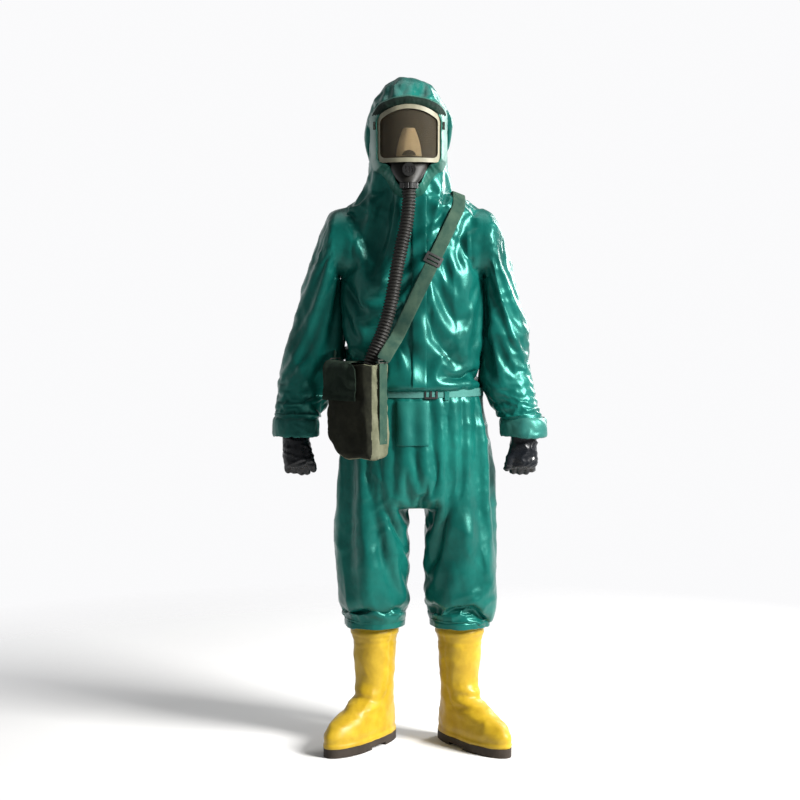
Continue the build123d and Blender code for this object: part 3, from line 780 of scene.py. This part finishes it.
def laid_panel(name, corners, off, thickness, material, front=True):
    """Flat panel laid on the suit between x0..x1 and z0..z1, with a turned edge."""
    x0, x1, z0, z1 = corners
    columns, rows = max(4, int((x1 - x0) / 5)), max(4, int((z1 - z0) / 5))
    points = []
    for z in np.linspace(z0, z1, rows):
        for x in np.linspace(x0, x1, columns):
            points.append(on_skin(x, z, front, off))
    grid = np.array(points).reshape(rows, columns, 3)
    for _ in range(3):
        grid[1:-1, :, 1] = (grid[:-2, :, 1] + grid[1:-1, :, 1] * 2 + grid[2:, :, 1]) / 4
        grid[:, 1:-1, 1] = (grid[:, :-2, 1] + grid[:, 1:-1, 1] * 2 + grid[:, 2:, 1]) / 4
    made = new_object(name, grid.reshape(-1, 3), grid_faces(rows, columns, False), material)
    solid = made.modifiers.new("thickness", "SOLIDIFY")
    solid.thickness = thickness / 1000
    solid.offset = 1
    bevel = made.modifiers.new("edge", "BEVEL")
    bevel.width = thickness / 3000
    bevel.segments = 2
    return apply_modifiers(made)


entry_flap = laid_panel("front_entry_flap", (0, 36, 968, 1462), 2.0, 2.2, SUIT)
finish_piece(entry_flap, "suit", ["entry_flap"])
patch = laid_panel("lower_patch", (-40, 43, 817, 932), 2.0, 2.2, PATCH)
finish_piece(patch, "suit", ["front_patch"])


def collar_outline():
    """Edge of the face opening as (x, z, y of the mask there), down round the chin and back."""
    half = VISOR_HALF + 2.5
    right = [(0, VISOR_TOP + 7.5, -163), (38, VISOR_TOP + 1.5, -156), (68, VISOR_TOP - 12, -143)]
    right += [(half, VISOR_SIDE_TOP - 2, -135), (half, 1620, -135), (half, 1580, -135)]
    right += [(half - 1, 1556, -136), (half - 12, VISOR_BOTTOM - 7, -137)]
    right += [(56, VISOR_BOTTOM - 9, -138), (46, 1533, -128)]
    right += [(38, 1515, -132), (31, 1498, -136), (20, 1488, -138), (0, 1485, -140)]
    left = [(-x, z, y) for x, z, y in right[-2:0:-1]]
    return [(MASK_X + x, z, y) for x, z, y in right + left]


def collar_foot(x, z, away):
    """How far out the collar meets the hood, and its depth there, where the hood still faces forward."""
    for reach in (30, 26, 23, 20):
        depth = (on_skin(x + away[0] * reach, z + away[1] * reach, True, 1).y - SHIFT.y) * 1000
        if depth < -56:
            break
    return reach, min(depth, -56)


def face_collar():
    """Gathered edge of the hood that closes on the mask all round, with painted shade on its inner rows above
    the visor for the brim's shadow.
    """
    outline = smooth_rows(collar_outline() + collar_outline()[:1], 181)[:-1]
    centre = np.array([MASK_X, 1600.0])
    outward = outline[:, :2] - centre
    outward /= np.linalg.norm(outward, axis=1, keepdims=True)
    feet = np.array([collar_foot(x, z, away) for (x, z, _), away in zip(outline, outward)])
    for _ in range(6):
        feet = (np.roll(feet, 1, axis=0) + feet + np.roll(feet, -1, axis=0)) / 3
    rows = []
    for step in np.linspace(0, 1, 12):
        ring = []
        for i, (x, z, y) in enumerate(outline):
            pleat = 1.2 * sin(i * 1.9) + 0.9 * sin(i * 0.83 + 1)
            reach = step * feet[i, 0]
            lean = step**1.5
            depth = y * (1 - lean) + feet[i, 1] * lean + (pleat - 4.5) * sin(pi * step)
            ring.append((x + outward[i, 0] * reach, depth, z + outward[i, 1] * reach))
        rows.append(ring)
    inner = [(x, y + 14, z) for x, y, z in rows[0]]
    points = points_at([inner] + rows)
    made = new_object("face_collar", points.reshape(-1, 3), grid_faces(13, 180), HOOD)
    made.data.materials.append(BRIM_PAINTED_SHADE)
    # Inner collar rows above this height get the painted brim shade.
    painted_shade_above_z = at(0, 0, VISOR_SIDE_TOP + 12).z
    for number, polygon in enumerate(made.data.polygons):
        if number // 180 < 10 and polygon.center.z > painted_shade_above_z:
            polygon.material_index = 1
    return subdivide(face_out(made))


def nose_valve():
    """Dark half-moon at the foot of the nose cup, where its breathing valve sits."""
    low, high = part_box("nose_cup")
    centre = np.array([(low.x + high.x) / 2, low.y, low.z + 0.001])
    rows = []
    for share in np.linspace(0.02, 1, 8):
        turn = np.linspace(0, pi, 24)
        x, z = 0.0165 * share * np.cos(turn), 0.0125 * share * np.sin(turn)
        y = 9 * x**2 - 0.0022 * np.cos(share * pi / 2)
        rows.append(np.stack([x, y, z], axis=1) + centre)
    made = new_object("nose_cup_valve", np.array(rows).reshape(-1, 3), grid_faces(8, 24, False), BLACK)
    solid = made.modifiers.new("thickness", "SOLIDIFY")
    solid.thickness = 0.002
    return apply_modifiers(made)


def hood_lining():
    """Dark lining inside the hood, open in front of the face."""
    rows = [(z - 14, hx * 0.72, hy * 0.72, x, y) for z, hx, hy, x, y in TRUNK if z >= 1476]
    points = oval_points(smooth_rows(rows, 40), 72)
    own = points.reshape(-1, 3)
    faces = []
    for face in grid_faces(40, 72):
        x, y, z = own[list(face)].mean(axis=0)
        if y > -25:
            faces.append(face)
    return new_object("hood_lining", points_at(own), faces, INSIDE)


finish_piece(face_collar(), "suit", ["hood_face_seal"])
finish_piece(hood_lining(), "suit")
finish_piece(nose_valve(), "suit")


def ribbon(name, line, across, width, thickness, material):
    """Webbing along a line of points (mm), with the direction across it given at each."""
    rows = []
    for place, side in zip(line, across):
        side = side / np.linalg.norm(side)
        rows.append([place + side * width * t for t in (-0.5, -0.25, 0, 0.25, 0.5)])
    made = new_object(name, points_at(rows).reshape(-1, 3), grid_faces(len(rows), 5, False), material)
    solid = made.modifiers.new("thickness", "SOLIDIFY")
    solid.thickness = thickness / 1000
    solid.offset = 0
    return subdivide(apply_modifiers(made))


def laid_run(start, end, count, front):
    """Points along a straight run over the suit, a little proud of it."""
    places = []
    for t in np.linspace(0, 1, count):
        x, z = start[0] + (end[0] - start[0]) * t, start[1] + (end[1] - start[1]) * t
        places.append((np.array(on_skin(x, z, front, 5.5)) - np.array(SHIFT)) * 1000)
    places = np.array(places)
    low = places[:, 1].copy()
    for _ in range(10):
        places[1:-1, 1] = (places[:-2, 1] + places[1:-1, 1] + places[2:, 1]) / 3
        places[:, 1] = np.minimum(places[:, 1], low) if front else np.maximum(places[:, 1], low)
    return list(places)


def strap_path():
    """Satchel strap from the hose end of the bag, over the left shoulder and down the back."""
    hose_end = np.array(bag_point(BAG_RIGHT + 2, 2, 1042))
    far_end = np.array(bag_point(BAG_LEFT - 2, 6, 1042))
    chest, top = STRAP_FRONT[1], STRAP_FRONT[0]
    front = laid_run((chest[0] + 4, chest[1] + 22), (top[0] - 4, top[1] - 22), 40, True)
    crest = [over_skin(top[0], y, 7) for y in (-62, -40, -20, 0, 20, 40, 62)]
    back = laid_run((top[0] - 4, top[1] - 22), (-150, 1062), 44, False)
    line = [hose_end, hose_end * 0.55 + front[0] * 0.45 + [2, -5, 4]] + front + crest + back
    line += [np.array([-196, 30, 1046]), np.array([-206, -30, 1044]), far_end + [-2, 20, 2], far_end]
    return smooth_rows(line, 150)


def strap_across(line):
    """Direction across the strap: level with the cloth on the body, turned at the bag."""
    made = []
    count = len(line)
    for i in range(count):
        run = line[min(i + 1, count - 1)] - line[max(i - 1, 0)]
        place = line[i]
        out = np.array([place[0] * 0.35, place[1], 0.0])
        if place[2] > 1432:
            out = np.array([0.5, place[1] / 60, 1.2])
        side = np.cross(run, out)
        made.append(side / np.linalg.norm(side))
    made = np.array(made)
    for _ in range(12):
        made[1:-1] = (made[:-2] + made[1:-1] + made[2:]) / 3
    return made


strap_line = strap_path()
strap = ribbon("satchel_strap", strap_line, strap_across(strap_line), 36, 2.4, WEBBING)
finish_piece(strap, "suit", ["shoulder_strap"])


# ------------------------------------------------------------------ cuffs and gloves
def cuff_rows(side_name):
    x, y = CUFF[side_name]
    outer = [(884, 57, 57, x, y + 5), (878, 61, 61, x, y + 4), (868, 62.5, 62, x, y + 2)]
    outer += [(850, 62, 62, x, y - 1), (838, 61.5, 61.5, x, y - 3), (833, 60, 60, x, y - 3)]
    inner = [(834, 57, 57, x, y - 3), (850, 56, 56, x, y - 1), (876, 53, 53, x, y + 4)]
    return outer + inner


for side_name in SIDES:
    rows = smooth_rows(cuff_rows(side_name), 36)
    points = points_at(oval_points(rows, 84)).reshape(-1, 3)
    cuff = new_object("cuff_" + side_name, points, grid_faces(36, 84), TRIM)
    crumple(cuff, [(14, 5, (1, 1, 0.6)), (34, 2, (1, 1, 0.6))])
    finish_piece(cuff, "forearm_" + side_name, ["sleeve_cuff_" + side_name])


def capsule(start, end, first, last):
    """(vertices, faces) of a rod with round ends, its radius running from first to last, in mm."""
    start, end = Vector(start), Vector(end)
    along = (end - start).normalized()
    side = along.orthogonal().normalized()
    other = along.cross(side)
    rings = []
    for turn in np.linspace(-pi / 2, 0, 6)[1:]:
        rings.append((start + along * first * sin(turn), first * cos(turn)))
    for turn in np.linspace(0, pi / 2, 6)[:-1]:
        rings.append((end + along * last * sin(turn), last * cos(turn)))
    points = []
    for centre, radius in rings:
        angles = [2 * pi * k / 20 for k in range(20)]
        points.append([centre + (side * cos(a) + other * sin(a)) * radius for a in angles])
    return closed_tube(points_at(points))


def glove_mesh(side_name):
    """Rubber glove round a loose fist: palm, four curled fingers and the thumb in one skin."""
    side = SIDES[side_name]
    x, y = CUFF[side_name]
    y -= 6
    hand = [(866, 35, 33, x, y + 8), (826, 36, 31, x, y + 2), (791, 37, 29, x - side * 2, y - 4)]
    hand += [(764, 38, 27, x - side * 3, y - 8), (752, 34, 23, x - side * 3, y - 8)]
    parts = [closed_tube(points_at(oval_points(smooth_rows(hand, 30), 40)))]
    for finger, reach in enumerate((-4, 0, 3, 1)):
        across = x - side * (3 + (finger - 1.5) * 16.5)
        knuckle = (across, y - 10, 757)
        bend = (across, y - 2, 741 - reach)
        tip = (across, y + 24, 745 - reach)
        nail = (across, y + 22, 766)
        parts += [capsule(knuckle, bend, 11, 10), capsule(bend, tip, 10, 9), capsule(tip, nail, 9, 8.5)]
    base, joint = (x - side * 26, y - 10, 800), (x - side * 40, y - 20, 768)
    parts += [capsule(base, joint, 14, 11.5), capsule(joint, (x - side * 46, y - 17, 748), 11.5, 9)]
    made = remesh(new_object("glove_skin_" + side_name, *joined(parts), GLOVE), 0.0026, 7)
    return crumple(made, [(20, 3.2, (1, 1, 2.2)), (55, 0.9, (1, 1, 1))])


for side_name in SIDES:
    finish_piece(glove_mesh(side_name), "forearm_" + side_name, ["glove_" + side_name])


# ------------------------------------------------------------------ boots
BOOT = [  # z, toe centre y, toe radius, heel centre y, heel radius
    (24, -158, 49, 44, 40.5),
    (31, -159, 49.5, 44, 40.5),
    (34, -160, 47.5, 44, 38.5),
    (52, -160, 47.5, 44, 38.5),
    (72, -148, 45, 42, 38),
    (88, -122, 43, 39, 38),
    (102, -90, 41, 35, 38),
    (116, -58, 40, 28, 39),
    (132, -32, 41, 22, 40),
    (165, -14, 44, 12, 44),
    (240, -10, 50, 10, 50),
    (296, -8, 56, 9, 55),
    (300, -8, 58, 9, 57.5),
    (308, -8, 58, 9, 57.5),
    (312, -8, 56, 9, 56),
    (346, -8, 57, 8, 57),
]


def boot_ring(row, around):
    z, toe_y, toe_r, heel_y, heel_r = row
    turn = np.linspace(0, 2 * pi, around, endpoint=False)
    front = (1 - np.sin(turn)) / 2
    half = heel_r + (toe_r - heel_r) * front
    reach = (toe_y - toe_r) * front + (heel_y + heel_r) * (1 - front)
    x = half * np.cos(turn) * (1 + 0.10 * np.abs(np.sin(2 * turn)))
    return np.stack([x, reach, np.full(around, z)], axis=1)


def boot_mesh(side_name):
    side = SIDES[side_name]
    turn = side * radians(36)
    rows = smooth_rows(BOOT, 110)
    points = np.array([boot_ring(row, 96) for row in rows])
    z = points[:, :, 2]
    crease = np.exp(-(((z - 124) / 34) ** 2)) * np.clip(-points[:, :, 1] / 50, 0, 1)
    ridges = np.exp(-(((z - 288) / 5) ** 2)) + np.exp(-(((z - 272) / 3) ** 2))
    swell = 1 + 0.055 * np.sin(z / 5.6 + points[:, :, 0] / 30) * crease + 0.02 * ridges
    points[:, :, :2] *= swell[:, :, None]
    turned = points.copy()
    turned[:, :, 0] = points[:, :, 0] * cos(turn) - points[:, :, 1] * sin(turn) + LEG_MID_X + side * 114
    turned[:, :, 1] = points[:, :, 0] * sin(turn) + points[:, :, 1] * cos(turn) + 4
    made = new_object("boot_" + side_name, points_at(turned).reshape(-1, 3), grid_faces(110, 96), YELLOW)
    return crumple(made, [(16, 2.2, (1, 1, 1)), (40, 0.7, (1, 1, 1))])


for side_name in SIDES:
    finish_piece(boot_mesh(side_name), "lower_leg_" + side_name, ["boot_upper_" + side_name])


# ------------------------------------------------------------------ breathing hose
def hose_line():
    """Points along the hose's smooth centre line, from a NURBS curve through its route."""
    x, y, _ = bag_point(CANISTER_X, 0, 0)
    route = HOSE_POINTS + [(x, y, 1012), (x, y, 945)]
    curve = bpy.data.curves.new("hose_route", "CURVE")
    curve.dimensions = "3D"
    spline = curve.splines.new("NURBS")
    spline.points.add(len(route) - 1)
    for point, place in zip(spline.points, route):
        point.co = (*at(*place), 1)
    spline.order_u = 3
    spline.use_endpoint_u = True
    spline.resolution_u = 40
    holder = bpy.data.objects.new("hose_route", curve)
    bpy.context.scene.collection.objects.link(holder)
    mesh = evaluated(holder)
    points = coordinates(mesh)
    bpy.data.objects.remove(holder)
    return points


def corrugated_tube(name, line, radius, depth, pitch, material):
    """Tube along a line of points, with rounded ribs."""
    steps = np.linalg.norm(np.diff(line, axis=0), axis=1)
    length = np.concatenate(([0.0], np.cumsum(steps)))
    count = int(length[-1] / pitch * 8)
    t = np.linspace(0, length[-1], count)
    centres = np.stack([np.interp(t, length, line[:, k]) for k in range(3)], axis=1)
    rings = []
    side = Vector((1, 0, 0))
    for i, centre in enumerate(centres):
        ahead = Vector(centres[min(i + 1, count - 1)] - centres[max(i - 1, 0)]).normalized()
        side = (side - ahead * side.dot(ahead)).normalized()
        other = ahead.cross(side)
        size = radius - depth * (0.5 + 0.5 * cos(2 * pi * t[i] / pitch)) ** 1.5
        for k in range(40):
            turn = 2 * pi * k / 40
            rings.append(Vector(centre) + (side * cos(turn) + other * sin(turn)) * size)
    made = new_object(name, rings, grid_faces(count, 40), material)
    return made, float(length[-1])


hose_points = hose_line()
hose, hose_length = corrugated_tube("breathing_hose_ribbed", hose_points, 0.0185, 0.0035, 0.0085, BLACK)
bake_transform(hose)
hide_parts("breathing_hose")


# ------------------------------------------------------------------ satchel
def bag_ring(z, grow, sag, around=96):
    """Outline of the satchel at one height, with soft corners and bulged sides."""
    turn = np.linspace(0, 2 * pi, around, endpoint=False)
    half_x, half_y = (BAG_RIGHT - BAG_LEFT) / 2 + grow - 2, BAG_DEPTH / 2 + grow
    c, s = np.cos(turn), np.sin(turn)
    x = np.sign(c) * np.abs(c) ** 0.32 * half_x
    y = np.sign(s) * np.abs(s) ** 0.42 * half_y
    y = y + np.sign(y) * sag * (1 - (x / half_x) ** 2)
    middle_x = (BAG_RIGHT + BAG_LEFT) / 2
    slant = max(0, BAG_BOTTOM + 54 - z) * 0.85
    x = x + slant * np.clip(-x / half_x, 0, 1)
    place = [bag_point(px + middle_x, py, z) for px, py in zip(x, y)]
    return np.array(place)


def bag_mesh():
    rows = []
    profile = [(BAG_BOTTOM + 1, -34, 0), (BAG_BOTTOM + 1, -16, 0), (BAG_BOTTOM + 3, -7, 1)]
    profile += [(BAG_BOTTOM + 10, -2, 3), (BAG_BOTTOM + 34, 0.5, 6)]
    profile += [(BAG_BOTTOM + 90, 0.5, 7), (BAG_BOTTOM + 150, -0.5, 4)]
    profile += [(BAG_TOP - 50, -1.5, 1), (BAG_TOP - 6, -1.5, -1), (BAG_TOP, -1.5, -1), (BAG_TOP, -4, -1)]
    profile += [(BAG_TOP - 60, -5, -1)]
    for z, grow, sag in smooth_rows(profile, 80):
        rows.append(bag_ring(z, grow, sag))
    points = points_at(rows)
    made = new_object("satchel_body", points.reshape(-1, 3), grid_faces(len(rows), 96), KHAKI)
    # Faces turned to the satchel's front get the darker canvas: painted shade, chosen by which way each face
    # points.
    made.data.materials.append(SHADE_PAINTED_CANVAS)
    painted_shade_facing = Vector((sin(BAG_TURN), -cos(BAG_TURN), 0))
    for polygon in made.data.polygons:
        if polygon.normal.dot(painted_shade_facing) > 0.6:
            polygon.material_index = 1
    return crumple(made, [(11, 5, (1, 1, 0.7)), (28, 2, (1, 1, 1)), (70, 0.8, (1, 1, 1))])


finish_piece(bag_mesh(), "satchel", ["satchel_shell"])


def flap_mesh():
    """Lid that curves over the top and down the front, with a curled lower edge."""
    left, right = BAG_LEFT + 1, 6
    half = BAG_DEPTH / 2
    profile = [(half - 1, BAG_TOP + 1.5), (half - 8, BAG_TOP + 3.5), (0, BAG_TOP + 4.5)]
    profile += [(-half + 4, BAG_TOP + 3), (-half - 3.5, BAG_TOP - 6), (-half - 6, BAG_TOP - 40)]
    profile += [(-half - 7, BAG_TOP - 80), (-half - 9, BAG_TOP - 92)]
    path = smooth_rows(profile, 60)
    points = []
    for y, z in path:
        widen = 28 * min(1, max(0, (BAG_TOP + 2 - z) / 14)) ** 0.5
        for x in np.linspace(left, right + widen, 40):
            points.append(bag_point(x, y, z))
    made = new_object("satchel_lid", points_at(points), grid_faces(60, 40, False), FLAP_CANVAS)
    crumple(made, [(18, 4, (1, 1, 1)), (45, 1.4, (1, 1, 1))])
    solid = made.modifiers.new("thickness", "SOLIDIFY")
    solid.thickness = 0.0022
    return apply_modifiers(made)


lid = flap_mesh()
finish_piece(lid, "flap", ["satchel_flap"])

# ------------------------------------------------------------------ CAD nodes that keep their shape
KEPT = [  # finish, and the nodes that take it
    (BELT, "waist_belt"),
    (SUIT, "belt_loops"),
    (BLACK, "mask_facepiece head_harness"),
    (LENS, "mask_visor"),
    (CREAM, "visor_frame_upper visor_frame_lower"),
    (PALE, "nose_cup valve_disc"),
    (METAL, "frame_screws flap_buckle satchel_rings"),
    (PLASTIC, "belt_buckle inhalation_discs valve_seat valve_cover strap_slide"),
    (PLASTIC, "hose_nut_upper hose_nut_lower glove_ring_right glove_ring_left"),
    (DRUM, "filter_canister"),
    (WEBBING, "satchel_hangers"),
    (SOLE, "boot_sole_right boot_sole_left"),
    (FELT, "boot_insole_right boot_insole_left"),
]


def dress_node(node, material):
    """Gives a CAD node its finish and slightly rounded edges."""
    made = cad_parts[node]
    made.data.materials.clear()
    made.data.materials.append(material)
    bevel = made.modifiers.new("edge", "BEVEL")
    bevel.width = 0.0006
    bevel.segments = 2
    bevel.limit_method = "ANGLE"
    bevel.angle_limit = radians(40)


for node_material, node_names in KEPT:
    for node_name in node_names.split():
        dress_node(node_name, node_material)


# ------------------------------------------------------------------ stage, lights and camera
def make_floor():
    half = 6.0
    corners = [(-half, -half, 0), (half, -half, 0), (half, half, 0), (-half, half, 0)]
    shader = Shader("floor_paint", (0.66, 0.66, 0.66), 0.8)
    shader.bump(shader.noise(40, 3), 0.0005, 0.2)
    shader.fade(half)
    new_object("floor", corners, [(0, 1, 2, 3)], shader.material, False)


def area_light(name, place, target, size, power, color=(1, 1, 1)):
    data = bpy.data.lights.new(name, "AREA")
    data.shape = "RECTANGLE"
    data.size, data.size_y = size
    data.energy = power
    data.color = color
    lamp = bpy.data.objects.new(name, data)
    bpy.context.scene.collection.objects.link(lamp)
    lamp.location = place
    lamp.rotation_euler = (Vector(target) - Vector(place)).to_track_quat("-Z", "Y").to_euler()


def make_lights():
    area_light("key", (3.3, -2.0, 2.9), (0, 0, 1.0), (1.3, 1.8), 620, (1.0, 0.985, 0.96))
    area_light("fill", (-3.2, -2.8, 1.7), (0, 0, 0.9), (2.5, 2.5), 4, (0.93, 0.97, 1.0))
    area_light("top", (0, 0.4, 4.2), (0, 0, 1.0), (2.2, 2.2), 28)
    area_light("rim", (2.4, 2.6, 2.4), (0, 0, 1.1), (1.0, 2.2), 110)
    world = bpy.data.worlds.new("studio")
    world.use_nodes = True
    nodes, links = world.node_tree.nodes, world.node_tree.links
    direction = nodes.new("ShaderNodeTexCoord").outputs["Generated"]
    split = nodes.new("ShaderNodeSeparateXYZ")
    links.new(direction, split.inputs["Vector"])
    ramp = nodes.new("ShaderNodeValToRGB")
    for element, (height, grey) in zip(ramp.color_ramp.elements, [(0.16, 0.98), (0.5, 0.22)]):
        element.position = height
        element.color = (grey, grey, grey * 1.01, 1)
    links.new(split.outputs["Z"], ramp.inputs["Fac"])
    links.new(ramp.outputs["Color"], nodes["Background"].inputs["Color"])
    behind = nodes.new("ShaderNodeMapRange")
    for socket, value in (("From Min", -0.4), ("From Max", 0.3), ("To Min", 0.3), ("To Max", 0.98)):
        behind.inputs[socket].default_value = value
    links.new(split.outputs["Y"], behind.inputs["Value"])
    links.new(behind.outputs["Result"], nodes["Background"].inputs["Strength"])
    bpy.context.scene.world = world


def make_camera():
    """Straight in front, a little above the suit's waist, looking slightly down."""
    data = bpy.data.cameras.new("camera")
    distance, half_height = 4.6, 1.066
    data.sensor_fit = "HORIZONTAL"
    data.angle = 2 * atan(half_height / distance)
    data.clip_end = 60
    eye = bpy.data.objects.new("camera", data)
    bpy.context.scene.collection.objects.link(eye)
    target = at(-32, 0, 926)
    eye.location = at(-32, -4590, 1250)
    eye.rotation_euler = (target - eye.location).to_track_quat("-Z", "Y").to_euler()
    bpy.context.scene.camera = eye


make_floor()
make_lights()
make_camera()
bpy.context.scene.view_settings.view_transform = "Standard"
